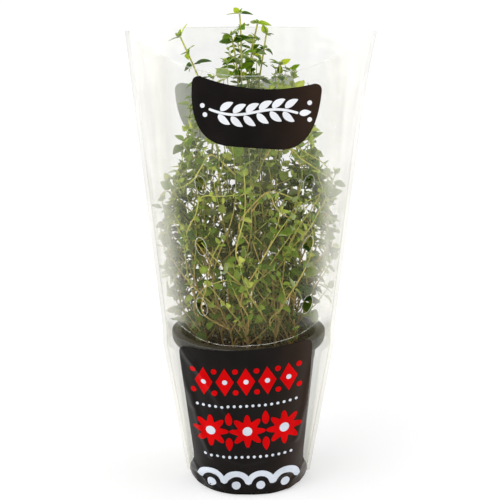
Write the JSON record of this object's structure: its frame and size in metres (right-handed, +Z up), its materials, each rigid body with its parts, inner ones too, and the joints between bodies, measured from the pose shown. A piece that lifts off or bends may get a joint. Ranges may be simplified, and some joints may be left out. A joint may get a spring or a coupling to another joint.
{
  "type": "potted thyme",
  "caption": "Thyme growing in a black plastic pot of potting mix, standing in a tall clear film sleeve with punched air holes and black printed panels; rests flat on its base.",
  "frame": {"origin": "on the resting plane, under the middle of the pot, on the underside of the sleeve's bottom film", "axes": "+Z up along the pot's axis; -Y to the front, where the sleeve's edge is scooped and its lower panel is printed; +X to the right seen from the front, towards a side weld"},
  "size_m": [0.1614, 0.1072, 0.3207],
  "materials": {
    "pot_plastic": "black moulded plastic, slightly ribbed and dusty",
    "potting_mix": "damp crumbly mix of peat, bark and a little white grit",
    "clear_film": "thin clear glossy film with soft creases",
    "printed_film": "glossy black ink on film, with a plain ornament in white and red",
    "thyme": "small matt waxy green leaves, paler below, on tan woody stems"
  },
  "bodies": {
    "root": {"pot": "pot_plastic", "soil": "potting_mix", "sleeve_front_film": "clear_film", "sleeve_back_film": "clear_film", "sleeve_bottom_film": "printed_film", "upper_front_print": "printed_film", "lower_front_print": "printed_film", "upper_back_print": "printed_film", "thyme_sprig_01": "thyme", "thyme_sprig_02": "thyme", "thyme_sprig_03": "thyme", "thyme_sprig_04": "thyme", "thyme_sprig_05": "thyme", "thyme_sprig_06": "thyme", "thyme_sprig_07": "thyme", "thyme_sprig_08": "thyme", "thyme_sprig_09": "thyme", "thyme_sprig_10": "thyme", "thyme_sprig_11": "thyme", "thyme_sprig_12": "thyme", "thyme_sprig_13": "thyme", "thyme_sprig_14": "thyme", "thyme_sprig_15": "thyme", "thyme_sprig_16": "thyme", "thyme_sprig_17": "thyme", "thyme_sprig_18": "thyme", "thyme_sprig_19": "thyme", "thyme_sprig_20": "thyme", "thyme_sprig_21": "thyme", "thyme_sprig_22": "thyme", "thyme_sprig_23": "thyme", "thyme_sprig_24": "thyme", "thyme_sprig_25": "thyme", "thyme_sprig_26": "thyme", "thyme_sprig_27": "thyme", "thyme_sprig_28": "thyme", "thyme_sprig_29": "thyme", "thyme_sprig_30": "thyme", "thyme_sprig_31": "thyme", "thyme_sprig_32": "thyme", "thyme_sprig_33": "thyme", "thyme_sprig_34": "thyme", "thyme_sprig_35": "thyme", "thyme_sprig_36": "thyme", "thyme_sprig_37": "thyme", "thyme_sprig_38": "thyme", "thyme_sprig_39": "thyme", "thyme_sprig_40": "thyme"}
  },
  "joints": []
}
